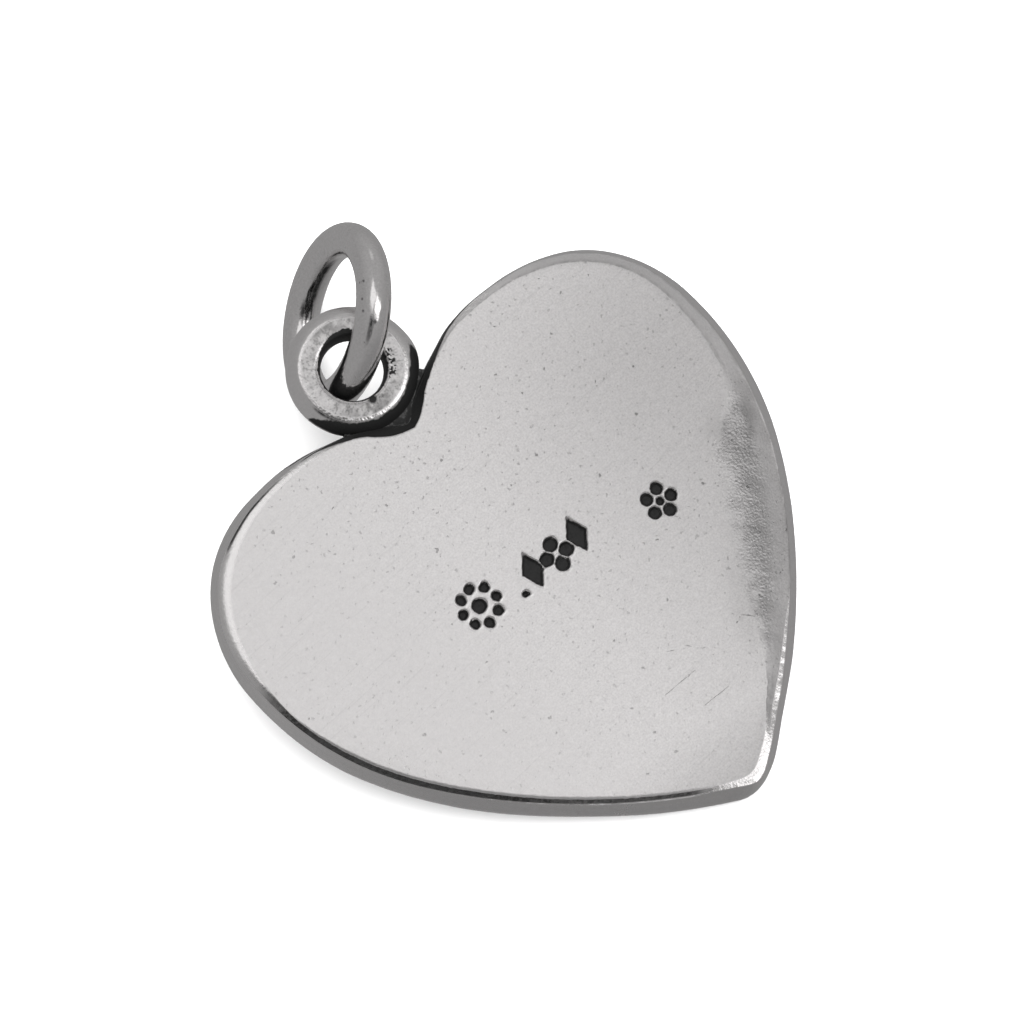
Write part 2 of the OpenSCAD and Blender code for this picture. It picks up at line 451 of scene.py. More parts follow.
def tone_colour(root, tone):
    """A nearly neutral colour with this value, a trace warm."""
    return root.out("ShaderNodeCombineColor", 0, {0: tone * 1.012, 1: tone, 2: tone * 0.998})


def spots(at, scale, rare, largest):
    """1 in irregular spots and 0 beside them: in each cell of a scattered pattern the distance to its
    point minus a radius that only some cells have, up to the largest in millimetres."""
    soft_edge = 0.012 * scale
    pick = at.out("ShaderNodeSeparateColor", 0, {0: at.cells(scale, "Color")})
    radius = (pick - rare).max(0.0) * (largest * scale / (1.0 - rare))
    return (at.cells(scale) - radius).step(soft_edge, -soft_edge)


def silver(name, base, rough, rough_dull, burnish, peel, scratches=()):
    """Worn silver: a satin ground, duller towards the right lobe and the tip, smoother where
    burnished and matt where that is negative, with a fine grain, an orange peel, pits, specks,
    hairlines and a few scratches; soft tarnishing and painted shade where the blackening is low,
    matt black where it is high.
    Base is its tone, rough, rough_dull and burnish are the roughness where it is satin, duller and
    burnished, and peel is the strength of its relief."""
    material = bpy.data.materials.new(name)
    material.use_nodes = True
    tree = material.node_tree
    tree.nodes.clear()
    root = Sock(tree, None)
    at = root.out("ShaderNodeTexCoord", "Object").scaled((1.0 / MM, 1.0 / MM, 1.0 / MM))
    black = root.out("ShaderNodeAttribute", "Fac", attribute_name="blackened_and_shade")
    gloss = root.out("ShaderNodeAttribute", "Fac", attribute_name="burnished")

    # Where it is duller, and where its marks are deeper: millimetres to the right and up the view.
    place = root.node("ShaderNodeSeparateXYZ", {0: at})
    right, up = (Sock(tree, place.outputs[k]) for k in (0, 1))
    away = (right.step(-2.0, 9.0) * up.step(9.0, 0.0)).max(up.step(-8.0, -12.0))
    worn = 0.55 + (right + up * 0.6).step(-7.0, 3.0) * 0.45
    open_face = (1.0 - gloss).max(0.0).min(1.0)
    dull = (0.0 - gloss).max(0.0)

    # Patterns, by how many of their grains go to a millimetre.
    cloud = at.noise(0.7, 3.0, 0.55) - 0.5
    waves = at.noise(4.0, 2.0, 0.6) - 0.5
    grain = at.noise(9.0, 4.0, 0.7) - 0.5
    crinkle = at.noise(13.0, 1.0, 0.4) - 0.5
    fine = (at.noise(16.0, 2.0, 0.6) - 0.5) * (0.10 + right.step(-6.0, -1.0) * 0.30) * open_face

    # Soft tarnish and painted shade below the limit, matt black above it.
    tarnish_and_shade = black.min(TARNISH_AND_SHADE_LIMIT)
    tarnish_and_shade = tarnish_and_shade * (1.2 + tarnish_and_shade * 2.2 + cloud + grain * 0.9)
    black = (black + grain * 0.5).step(0.32, 0.7)

    # Pits, specks, hairlines and scratches.
    bent = root.vector("MULTIPLY_ADD", at.wander(9.0, 1.0), (0.16, 0.16, 0.16), at)
    marks = spots(bent, 0.9, 0.55, 0.05) * open_face * worn
    specks = spots(bent, 3.6, 0.35, 0.034) * open_face * worn
    hair = at.scaled((0.45, 15.0, 0.45)).noise(1.0, 1.5).step(0.60, 0.74) * open_face
    for start, end, width, waver in scratches:
        marks = marks.max(scratch(at, start, end, width, waver) * 0.6)

    # Relief in millimetres.
    height = grain * 0.003 * peel + waves * (0.003 + gloss.max(0.0) * 0.004) * peel
    height = height + crinkle * (dull * 0.0075 + away * 0.002 + 0.0025) * peel
    height = height - marks * 0.012 - specks * 0.006 - hair * 0.0006 - black * 0.005 * peel ** 3
    bump = root.out("ShaderNodeBump", 0, {"Height": height, "Distance": MM, "Strength": 1.0})

    tone = base * (1.0 + cloud * 0.05 + waves * 0.07 + grain * (0.16 + dull * 0.2) + fine)
    tone = tone * (1.0 - marks * 0.38 - specks * 0.15 - hair * 0.05) * (1.0 - tarnish_and_shade)
    colour = black.mix(tone_colour(root, tone), grey(BLACK_TONE))
    satin = rough + away * (rough_dull - rough) + grain * 0.06 + cloud * 0.05
    roughness = satin + (burnish - satin) * gloss.max(0.0) + (MATT_ROUGH - satin) * dull
    roughness = roughness + marks * 0.1 + specks * 0.05
    roughness = roughness + (BLACK_ROUGH - roughness) * black
    shader = root.out("ShaderNodeBsdfPrincipled", 0, {
        "Base Color": colour, "Metallic": black.step(1.0, 0.8), "Roughness": roughness, "Normal": bump,
        "Specular IOR Level": 0.35})
    root.node("ShaderNodeOutputMaterial", {"Surface": shader})
    return material


# Scratches across the back: their two ends, half their width, and the breadth of their waver, all in
# millimetres.
SCRATCHES = (
    ((0.86, -5.92), (1.45, -6.20), 0.014, 0.25),
    ((1.45, -6.20), (2.05, -6.88), 0.012, 0.25),
    ((-0.18, -6.90), (1.09, -6.97), 0.012, 0.06),
    ((0.53, -8.00), (1.57, -8.07), 0.012, 0.06),
    ((3.24, -6.43), (3.71, -7.00), 0.016, 0.12),
)
plate_silver = silver("plate_silver", base=0.90, rough=0.34, rough_dull=0.56, burnish=0.20, peel=1.0,
                      scratches=SCRATCHES)


def value_at(along, rows):
    """The rows' second column where their first is along, on straight lines between them."""
    return np.interp(along, rows[:, 0], rows[:, 1])


def plate_edge(at):
    """The edge at distances round the outline: its points and inward lines; the tables' values, with
    insets counted from the outline as filed; how far it is matt roll-off or soft pillow, from 0 to 1;
    and where the face ends, with a ragged line except on the roll-off."""
    e = SimpleNamespace()
    e.outline, e.inward, e.along, e.side = heart_outline(at)
    wall_in, ledge_in, face_in, e.ledge_drop, e.drop, e.power = eased(
        e.along, e.side, EDGE_RIGHT, EDGE_LEFT)
    stray = eased(e.along, e.side, STRAY_RIGHT, STRAY_LEFT)[0]
    e.left = np.where(e.side < 0, 1.0, 0.0)
    e.right = 1.0 - e.left
    e.roll = e.right * smooth(2.2, 5.2, e.along) * smooth(15.4, 13.2, e.along)
    e.soft = e.left * smooth(0.5, 2.0, e.along) * smooth(17.0, 13.0, e.along)
    ragged = 0.03 + 0.07 * e.right * smooth(1.8, 2.6, e.along) * smooth(17.0, 14.0, e.along)
    ragged = ragged * (1.0 - 0.95 * e.roll) * (
        0.5 * lattice(6.0 * e.along, 3.0 * e.side, 1)
        + 0.5 * lattice(14.0 * e.along, 3.0 * e.side, 6) - 0.5)
    e.wall_in = wall_in + stray
    e.ledge_in = ledge_in + stray
    e.face_in = face_in + stray + ragged
    e.pillow = PILLOW_IN + 0.4 * e.soft - 0.18 * e.roll
    e.sunk = PILLOW_FALL * e.pillow * e.soft
    return e


def smudge_and_shade(e, inset):
    """Darkening on and round the roll-off, partly soft tarnishing and partly painted shade: a band
    along it and a spot at its upper end.
    """
    band = smooth(0.5, 1.1, inset) * smooth(2.9, 1.7, inset)
    band = 0.08 * band * smooth(3.6, 5.4, e.along) * smooth(14.5, 12.0, e.along)
    spot = 0.07 * hill(inset, 1.5, 0.6) * hill(e.along, 12.2, 0.7)
    return e.right * (band + spot)


def black_line(e):
    """The thin black line that runs along the top of the wall on the left lobe."""
    return 0.6 * e.left * smooth(21.9, 22.6, e.along) * smooth(26.0, 24.0, e.along)


def bevel_ring(e, x):
    """The bevel where x goes from 1 at the face to 0 at the ledge: its inset, its fall by a power of
    1 - x with an uneven ground on the roll-off, its blackening, which holds tarnishing and painted
    shade, and its burnish."""
    inset = e.ledge_in + (e.face_in - e.ledge_in) * x
    px, py = (e.outline + inset[:, None] * e.inward).T
    uneven = 0.016 * (lattice(2.0 * px, 2.0 * py, 2) - 0.5) + 0.004 * (
        lattice(7.0 * px, 7.0 * py, 3) - 0.5)
    uneven = uneven * e.roll * smooth(1.0, 0.7, x) * smooth(-0.05, 0.1, x)
    fall = np.maximum(e.drop * (1.0 - x) ** e.power + uneven, 0.0)

    # The roll-off's matt ground fades out raggedly at its inner side.
    matt = smooth(1.05, 0.55, x + 0.3 * (lattice(4.0 * px, 4.0 * py, 5) - 0.5))
    matt = e.roll * matt * smooth(1.02, 0.85, x)
    # Its darkening is partly tarnish and partly painted shade, darkest in a patch near its upper end.
    shade = 0.15 + 0.03 * hill(inset, 1.35, 0.5)
    shade = shade + 0.12 * hill(inset + 0.3 * (e.along - 12.0), 1.2, 0.5) * hill(e.along, 12.5, 0.9)

    # Dirt on the rest of the right side: over the bevel, in the gap near the tip, in a pitted line.
    dirt = (1.0 - e.roll) * smooth(2.0, 2.4, e.along) * smooth(0.45, 0.95, x) * 0.14
    dirt = np.maximum(dirt, 0.12 * hill(e.along, 3.2, 1.2) * hill(x, 0.4, 0.35))
    pitted = smooth(13.2, 14.4, e.along) * smooth(18.5, 15.5, e.along)
    dirt = np.maximum(dirt, 0.13 * hill(x, 0.82, 0.13) * pitted)
    dirt = e.right * dirt * (0.5 + lattice(9.0 * px, 9.0 * py, 8))
    # Tarnish, dirt and painted shade together, held below the limit.
    tarnish_and_shade = np.minimum(np.maximum(matt * shade, dirt) + smudge_and_shade(e, inset), TARNISH_AND_SHADE_LIMIT)

    # Black: by the cleft it narrows to the wall's side, and on the left it fills the bevel.
    start = 26.6 + 1.1 * x
    black = smooth(start, start + 0.5, e.along) * smooth(1.0, 0.92, x)
    black = np.maximum(black, e.left * value_at(e.along, BLACK_BEVEL_LEFT) * smooth(1.0, 0.9, x))
    black = np.maximum(black, black_line(e) * smooth(0.2, 0.08, x))

    # Burnished off the roll-off, less on its side of the heart; the matt ground is duller inwards.
    smoothed = (1.0 - e.roll) * smooth(1.0, 0.7, x) * np.where(e.along < 2.4, 1.0, 0.6 + 0.4 * e.left)
    duller = (0.3 + 0.7 * smooth(0.5, 1.2, inset)) * (0.45 + 0.55 * smooth(0.5, 1.0, inset))
    burnish = smoothed - duller * matt
    return inset, fall, np.maximum(black, tarnish_and_shade), burnish


def field_grid():
    """The grid that carries the ornaments: its points' x and y, and the row and column of each point
    on its rim, from the middle of the side towards the tip to the right and all the way round."""
    nx = 2 * round((FIELD_X[1] - FIELD_X[0]) / FIELD_STEP / 2.0)
    ny = 2 * round((FIELD_Y[1] - FIELD_Y[0]) / FIELD_STEP / 2.0)
    gx, gy = np.meshgrid(np.linspace(*FIELD_X, nx + 1), np.linspace(*FIELD_Y, ny + 1))
    c, s = np.cos(ROW_TURN), np.sin(ROW_TURN)
    mid = nx // 2
    rim = np.concatenate([
        np.column_stack([np.zeros(mid, int), np.arange(mid, nx)]),
        np.column_stack([np.arange(ny), np.full(ny, nx)]),
        np.column_stack([np.full(nx, ny), np.arange(nx, 0, -1)]),
        np.column_stack([np.arange(ny, 0, -1), np.zeros(ny, int)]),
        np.column_stack([np.zeros(mid, int), np.arange(mid)]),
    ])
    return gx * c - gy * s, gx * s + gy * c, rim


def heart_plate():
    """The closed plate. A fine rectangular grid carries the ornaments. Rings of points run from its
    rim out to the face's edge, over the bevel and down the wall, and in again across the front to a
    pole under the middle. Ring k, column j blends or insets the outline's point j."""
    fx, fy, rim = field_grid()
    columns, ny, nx = len(rim), fx.shape[0] - 1, fx.shape[1] - 1
    half = heart_arcs()[3]

    # The columns at the tip, the field's corners and the cleft, and how far round the outline they go.
    known = np.cumsum([0, nx // 2, ny, TO_CLEFT, nx - TO_CLEFT, ny, nx // 2])
    places = [0.0, *CORNERS_RIGHT, half, *(2.0 * half - np.array(CORNERS_LEFT)), 2.0 * half]
    e = plate_edge(np.interp(np.arange(columns), known, places))
    rings, dark, bright = [], [], []

    def add_ring(xy, z, black, burnish):
        """One more ring of points, with its blackening, which on some rings holds painted shade, and
        its burnish; a single value fills it.
        """
        rings.append(np.column_stack([xy, np.broadcast_to(z, columns)]))
        dark.append(np.broadcast_to(black, columns))
        bright.append(np.broadcast_to(burnish, columns))

    def inside(inset):
        """The outline's points moved along their inward lines."""
        return e.outline + inset[:, None] * e.inward

    # The flat face, then the pillow that sinks a little towards the bevel on the left. Both carry the
    # roll-off's tarnish and painted shade.
    field_rim = np.column_stack([fx[rim[:, 0], rim[:, 1]], fy[rim[:, 0], rim[:, 1]]])
    face_edge = inside(e.face_in + e.pillow)
    spare = np.hypot(*(field_rim - face_edge).T)
    for w in BLEND_AT:
        inset = e.face_in + e.pillow + (1.0 - w) * spare
        add_ring(field_rim + (face_edge - field_rim) * w, PLATE_T, smudge_and_shade(e, inset), 0.0)
    for u in PILLOW_AT:
        inset = e.face_in + e.pillow * u
        rim_shade = 0.05 * (1.0 - u) ** 2 * e.right * (1.0 - e.roll) * smooth(26.0, 22.0, e.along)
        add_ring(inside(inset), PLATE_T - e.sunk * (1.0 - u) ** 2, rim_shade + smudge_and_shade(e, inset),
                 -0.10 * (1.0 - u) * e.roll)

    # The bevel, and the ledge below it, whose fall comes and goes like teeth.
    for x in np.linspace(1.0, 0.0, BEVEL_RINGS + 1)[1:]:
        inset, fall, black, burnish = bevel_ring(e, x)
        add_ring(inside(inset), PLATE_T - e.sunk - fall, black, burnish)
    uneven = smooth(1.5, 4.0, e.along)
    teeth = 0.85 - 0.35 * uneven + (0.3 + 0.7 * uneven) * lattice(7.0 * e.along, 3.0 * e.side, 4)
    polished = e.right * smooth(7.0, 5.5, e.along) + e.left * smooth(2.2, 1.4, e.along)
    bevel_black = e.left * value_at(e.along, BLACK_BEVEL_LEFT)
    for x in LEDGE_AT:
        inset = e.wall_in + (e.ledge_in - e.wall_in) * x
        fall = e.sunk + e.drop + e.ledge_drop * (1.0 - x) * teeth
        black = np.maximum(smooth(26.0, 26.6, e.along), 0.5 * bevel_black * smooth(0.3, 0.9, x))
        black = np.maximum(black, black_line(e) * smooth(0.0, 0.6, x))
        # On the right from about 6 mm past the tip, painted shade darkens the ledge and dims its
        # highlight.
        black = np.maximum(black, 0.13 * e.right * smooth(5.6, 7.0, e.along))
        add_ring(inside(inset), PLATE_T - fall, black, 0.4 + 0.6 * polished)

    # The wall, which swells to the outline, then the rounded foot and the flat front.
    shoulder = PLATE_T - e.sunk - e.drop - e.ledge_drop * teeth
    black_from = np.where(e.side > 0.0, value_at(e.along, BLACK_WALL_RIGHT),
                          value_at(e.along, BLACK_WALL_LEFT))
    for w in WALL_AT:
        # Faint streaks, and a slight darkening down the wall towards the foot.
        streaks_darker_down = 0.01 * w + 0.035 * lattice(1.3 * e.along, 9.0 * w + 5.0 * e.side, 10)
        black = np.maximum(smooth(black_from - 0.08, black_from + 0.08, w), streaks_darker_down)
        add_ring(inside(e.wall_in * (1.0 - w) ** 1.2), shoulder + (WIDEST_Z - shoulder) * w, black, 0.6)
    for q in FOOT_AT:
        inset = np.full(columns, BASE_IN * (1.0 - np.cos(q)))
        add_ring(inside(inset), WIDEST_Z * (1.0 - np.sin(q)), smooth(25.0, 26.2, e.along), 0.6)
    foot = rings[-1]
    centre = np.array([0.0, -1.0, 0.0])
    for k in FRONT_AT:
        across = centre + (foot - centre) * k
        add_ring(across[:, :2], across[:, 2], 0.0, 0.3)

    # The field's inner points come after the rings, and the pole comes last.
    ids = np.full(fx.shape, -1)
    ids[rim[:, 0], rim[:, 1]] = np.arange(columns)
    within = ids < 0
    ids[within] = len(rings) * columns + np.arange(within.sum())
    field = np.column_stack([fx[within], fy[within], punch_height(fx, fy)[within]])
    gap = punch_distance(fx[within], fy[within])
    points = np.vstack([*rings, field, centre])

    k, j = np.meshgrid(np.arange(len(rings) - 1), np.arange(columns), indexing="ij")
    a, b = k * columns + j, k * columns + (j + 1) % columns
    bands = np.stack([a, a + columns, b + columns, b], axis=-1).reshape(-1, 4)
    patch = np.stack([ids[:-1, :-1], ids[:-1, 1:], ids[1:, 1:], ids[1:, :-1]], axis=-1)
    last = (len(rings) - 1) * columns + np.arange(columns)
    cap = np.column_stack([last, np.full(columns, len(points) - 1), np.roll(last, -1)])
    faces = bands.tolist() + patch.reshape(-1, 4).tolist() + cap.tolist()
    blackened_and_shade = np.concatenate([*dark, smooth(-0.01, -0.05, gap), [0.0]])
    burnished = np.concatenate([*bright, smooth(0.05, 0.01, gap), [0.3]])
    return add_piece("heart_plate_skin", points, faces, plate_silver, blackened_and_shade, burnished)


plate = heart_plate()
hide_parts("heart_plate")
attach(plate, "root")


# Hanging loop. A ring of round wire soldered upright-to-flat in the cleft. Its top was lapped with
# the back face, which left a bright flat; its hole and the side towards the heart stayed black.

# Its centre, and the radii of its middle line and of its wire, in millimetres.
LOOP_C = np.array([-0.1, TIP_Y + 18.54, 0.57])
LOOP_R = 1.57
LOOP_WIRE_R = 0.56

# The upper half of its section, from the hole over the lapped flat to the outside: the distance out
# from the middle of the wire, and the height.
LOOP_TOP = np.array([
    [-0.56, 0.0], [-0.55, 0.15], [-0.52, 0.30], [-0.48, 0.41], [-0.44, 0.462], [-0.38, 0.486],
    [-0.30, 0.498], [-0.10, 0.50], [0.06, 0.498], [0.13, 0.488], [0.20, 0.472], [0.25, 0.44],
    [0.31, 0.39], [0.40, 0.30], [0.49, 0.18], [0.545, 0.06],
])


def closed_grid(rows, columns):
    """The quads of a grid that closes on itself both ways, facing outwards for a ring whose rows go
    round it and whose columns go round its section."""
    k, j = np.meshgrid(np.arange(rows), np.arange(columns), indexing="ij")
    k2, j2 = (k + 1) % rows, (j + 1) % columns
    quads = np.stack([k * columns + j, k2 * columns + j, k2 * columns + j2, k * columns + j2], -1)
    return quads.reshape(-1, 4).tolist()


def closed_curve(knots, count):
    """A smooth closed curve through the knots, even by chord: between two knots it is the cubic whose
    slopes are half the steps between their neighbours."""
    steps = np.linalg.norm(np.roll(knots, -1, axis=0) - knots, axis=1)
    ends = np.cumsum(steps)
    at = np.linspace(0.0, ends[-1], count, endpoint=False)
    k = np.searchsorted(ends, at, side="right")
    t = ((at - (ends[k] - steps[k])) / steps[k])[:, None]
    n = len(knots)
    before, here, there, after = (knots[(k + step) % n] for step in (-1, 0, 1, 2))
    return 0.5 * (2.0 * here + (there - before) * t
                  + (2.0 * before - 5.0 * here + 4.0 * there - after) * t ** 2
                  + (3.0 * here - before - 3.0 * there + after) * t ** 3)


def loop_finish(a, across, lift):
    """The loop's blackening and burnish at turns round it, distances across its wire and heights."""
    turn = np.degrees(a)

    def noise(half_round, per_mm, seed):
        """Noise with so many cells to half the loop's round, and so many to a millimetre across."""
        return lattice(a * half_round / np.pi, across * per_mm, seed)

    # Black in the hole, on the slope outside the flat on the heart's side, and underneath.
    rag = 0.6 * noise(32.0, 8.0, 3) + 0.4 * noise(96.0, 16.0, 7) - 0.5
    inner = -0.46 + 0.17 * hill(turn, 62.0, 42.0) + 0.10 * rag
    hole = smooth(inner + 0.03, inner - 0.03, across)
    heart_side = smooth(-196.0, -135.0, turn) * smooth(2.0, -40.0, turn)
    outer = 0.25 + 0.6 * (1.0 - heart_side) ** 2 + 0.09 * rag * smooth(-20.0, -50.0, turn)
    low_side = np.interp(turn, [-46.0, -17.0], [-0.35, 0.36])
    low_side = np.maximum(low_side, smooth(-140.0, -158.0, turn) * 0.3 - 0.3)
    slope = smooth(outer - 0.04, outer + 0.04, across) * smooth(low_side - 0.06, low_side + 0.06, lift)
    slope = slope * smooth(0.0, 0.25, heart_side)
    below = 0.8 * smooth(-0.1, -0.3, lift)

    # Black specks and a nick at the hole's rim, and a broken groove along the flat's outer side.
    specks = noise(96.0, 24.0, 4) * hill(turn, -36.0, 36.0)
    specks = smooth(0.50, 0.62, specks) * smooth(-0.43, -0.38, across) * smooth(-0.14, -0.26, across)
    nick = 1.2 * hill(turn, -102.0, 6.0) * hill(across, -0.37, 0.13)
    groove = smooth(-182.0, -168.0, turn) * smooth(-125.0, -150.0, turn) * (0.5 + rag)
    groove = groove * hill(across, 0.25, 0.035) * smooth(0.3, 0.4, lift)

    # Soft tarnish on the flat, with a fine grain.
    smear = 0.11 + 0.15 * hill(turn, -105.0, 42.0) + 0.12 * hill(turn, 85.0, 30.0)
    smear = smear * smooth(-0.42, -0.3, across) * smooth(0.12, 0.02, across)
    smear = smear * (0.4 + 1.1 * noise(32.0, 5.0, 9))
    fine = smooth(0.45, 0.85, noise(96.0, 20.0, 5)) * smooth(0.18, 0.12, across)
    fine = fine * smooth(0.3, 0.42, lift)

    marked = hole + 0.9 * specks + nick
    layers = np.broadcast_arrays(marked, slope, below, groove, smear + 0.12 * fine)
    edges = np.maximum(smooth(0.06, 0.12, across), smooth(-0.30, -0.38, across))
    dull = 0.15 + 0.45 * np.cos(a - np.radians(70.0)) ** 2
    return np.clip(np.maximum.reduce(layers), 0.0, 1.0), edges - (1.0 - edges) * dull


def hanging_loop():
    """A section carried round the loop's centre: squared at the hole, level on top, sloping away
    outside, round below. It bulges a little on one side, and the flat's outer rim is jagged."""
    rows, columns = 600, 136
    under = np.radians(np.arange(-20.0, -170.0, -20.0))
    round_below = LOOP_WIRE_R * np.column_stack([np.cos(under), np.sin(under)])
    section = closed_curve(np.vstack([LOOP_TOP, round_below]), columns)[::-1]
    across, lift = section[None, :, 0], section[None, :, 1]
    a = np.linspace(-np.pi, np.pi, rows, endpoint=False)[:, None]
    turn = np.degrees(a)
    radius = LOOP_R + across + 0.07 * hill(turn, -24.0, 18.0) * smooth(0.0, 0.35, across)
    jagged = 0.014 * (lattice(a * 96.0 / np.pi, across * 14.0, 11) - 0.6)
    jagged = jagged * smooth(-70.0, -110.0, turn) * smooth(-180.0, -160.0, turn)
    jagged = jagged * hill(across, 0.15, 0.06) * smooth(0.3, 0.42, lift)
    points = np.stack([LOOP_C[0] + radius * np.cos(a), LOOP_C[1] + radius * np.sin(a),
                       LOOP_C[2] + lift + jagged], axis=-1).reshape(-1, 3)
    blackened_and_shade, burnished = loop_finish(a, across, lift)
    return add_piece("hanging_loop", points, closed_grid(rows, columns), plate_silver,
                     blackened_and_shade.reshape(-1), burnished.reshape(-1))


loop = hanging_loop()
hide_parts("heart_plate")
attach(loop, "root")


# Solder. It fills the cleft between the loop and the plate, lies lower than both in the middle, and
# was left black. It draws in to a small round in each notch.
SOLDER_TOP = 0.80
SOLDER_BOTTOM = 0.12

# The turns that it covers round the loop, how far it runs into the loop and into the plate, and how
# far it follows the plate's edge to each side of the cleft.
SOLDER_FROM = np.radians(-35.0)
SOLDER_SWEEP = np.radians(-115.0)
INTO_LOOP = 0.25
INTO_PLATE = 0.40
CLEFT_REACH = 2.1


def solder():
    """A tube with a flat section that runs round the loop from notch to notch: its sides follow the
    loop's wire and the plate's edge, and its top and bottom sag to a valley between them by a power
    of a sine. At each end its middle is drawn back from the notch, by a sine across the section that
    dies away exponentially along it."""
    rows, columns = 96, 40
    turn = np.linspace(0.0, 1.0, rows)
    a = SOLDER_FROM + turn * SOLDER_SWEEP
    loop_side = LOOP_C[:2] + (LOOP_R + INTO_LOOP) * np.column_stack([np.cos(a), np.sin(a)])
    half = heart_arcs()[3]
    outline, inward = heart_outline(np.linspace(half - CLEFT_REACH, half + CLEFT_REACH, 201))[:2]
    edge = outline + INTO_PLATE * inward
    length = np.concatenate([[0.0], np.cumsum(np.hypot(*np.diff(edge, axis=0).T))])
    at = turn * length[-1]
    plate_side = np.column_stack([np.interp(at, length, edge[:, k]) for k in (0, 1)])
    v = np.linspace(0.0, 1.0, columns // 2)
    sag = np.sin(np.pi * v) ** 0.8
    across = np.concatenate([v, v[::-1]])
    z = np.concatenate([SOLDER_TOP - 0.12 * sag, (SOLDER_BOTTOM + 0.15 * sag)[::-1]])
    drawn = np.exp(-turn / 0.05) - np.exp(-(1.0 - turn) / 0.05)
    bow = 0.16 * np.sin(np.pi * across)[None, :] * drawn[:, None]
    xy = loop_side[:, None, :] + (plate_side - loop_side)[:, None, :] * across[None, :, None]
    along_way = np.gradient(xy, axis=0)
    along_way /= np.linalg.norm(along_way, axis=-1, keepdims=True)
    xy = xy + bow[..., None] * along_way
    points = np.concatenate([xy, np.broadcast_to(z, (rows, columns))[..., None]], axis=-1)
    points = points.reshape(-1, 3)

    k, j = np.meshgrid(np.arange(rows - 1), np.arange(columns), indexing="ij")
    j2 = (j + 1) % columns
    quads = np.stack([k * columns + j, (k + 1) * columns + j, (k + 1) * columns + j2,
                      k * columns + j2], -1).reshape(-1, 4).tolist()
    pairs = np.arange(columns // 2 - 1)
    first = np.column_stack([pairs + 1, columns - 2 - pairs, columns - 1 - pairs, pairs])
    last = first[:, ::-1] + (rows - 1) * columns
    mottled = 0.50 + 0.40 * lattice(turn[:, None] * 26.0, across[None, :] * 7.0, 8)
    return add_piece("loop_solder", points, quads + first.tolist() + last.tolist(), plate_silver,
                     mottled.reshape(-1), np.full(len(points), 0.4))


joint = solder()
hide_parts("heart_plate")
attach(joint, "root")


# Jump ring. Round silver wire bent into a ring and soldered shut, polished but a little scuffed. It
# hangs in the loop and has fallen over, so that one side of it props the loop end up.

# Its centre, the radii of its middle line and of its wire, and how it is tipped and then turned.
RING_C = LOOP_C + np.array([1.11, 1.74, -1.09])
RING_R = 2.55
RING_WIRE_R = 0.57
RING_TIP = np.radians(67.0)
RING_TURN = np.radians(134.2)
wire_silver = silver("wire_silver", base=0.88, rough=0.17, rough_dull=0.17, burnish=0.10, peel=0.6)


def jump_ring():
    """A ring of round wire: at the angle a round it and b round the wire, a point lies out by the
    ring's radius plus the wire's times the cosine of b, and up by the wire's times the sine. Then its
    axis is tipped from the plate's upright and turned about it."""
    rows, columns = 480, 96
    a = np.linspace(0.0, 2.0 * np.pi, rows, endpoint=False)[:, None]
    b = np.linspace(0.0, 2.0 * np.pi, columns, endpoint=False)[None, :]
    around, section = np.degrees(a), np.degrees(b)

    def noise(half_round, half_section, seed):
        """Noise with so many cells to half the ring's round, and so many to half the wire's."""
        return lattice(a * half_round / np.pi, b * half_section / np.pi, seed)

    def mark(at, wide, across, high):
        """A bell both ways, round the ring and round the wire, in degrees."""
        return hill(around, at, wide) * hill(section, across, high)

    # The wire's radius is rippled and a hair less than the solid's.
    wire = RING_WIRE_R + 0.004 * (noise(32.0, 32.0, 7) - 0.5) - 0.005
    radius = RING_R + wire * np.cos(b)
    local = np.stack([radius * np.cos(a), radius * np.sin(a), wire * np.sin(b)], -1)
    tip = np.array(Matrix.Rotation(RING_TIP, 3, "Y"))
    turn = np.array(Matrix.Rotation(RING_TURN, 3, "Z"))
    points = local.reshape(-1, 3) @ (turn @ tip).T + RING_C

    # Black residue inside, a faint closed seam as a broken line and a row of dots, and a scuff.
    residue = hill(section, 175.0, 11.0) * smooth(262.0, 300.0, around) * smooth(337.0, 326.0, around)
    residue = residue + 0.9 * mark(342.0, 5.0, 156.0, 7.0)
    residue = residue * (0.40 + 0.36 * noise(16.0, 64.0, 8) + 0.24 * noise(64.0, 96.0, 9))
    broken = smooth(0.45, 0.6, lattice(b * 64.0 / np.pi, np.zeros_like(a), 6))
    seam = mark(191.0, 0.7, 68.0, 15.0) * broken
    dots = mark(178.8, 0.7, 68.0, 3.0) + mark(170.8, 0.7, 60.0, 3.0) + mark(165.0, 1.0, 15.0, 5.0)
    scuff = 0.9 * mark(163.0, 5.0, 25.0 + 0.35 * (around - 160.0), 3.4)
    scuff = scuff * smooth(0.40, 0.56, noise(96.0, 64.0, 4))
    blackened_and_shade = np.clip(residue + 0.8 * seam + 0.8 * dots + scuff, 0.0, 1.0)
    return add_piece("jump_ring_wire", points, closed_grid(rows, columns), wire_silver,
                     blackened_and_shade.reshape(-1), np.full(len(points), 0.5))


ring = jump_ring()
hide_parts("jump_ring")
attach(ring, "root")


# Floor. A plain white sheet, well past the view on every side. Mirror rays pass it by, so that the
# metal shows the grey of the surroundings in its place.
FLOOR_HALF = 1.5
FLOOR_WHITE = 0.9
FLOOR_ROUGH = 0.9


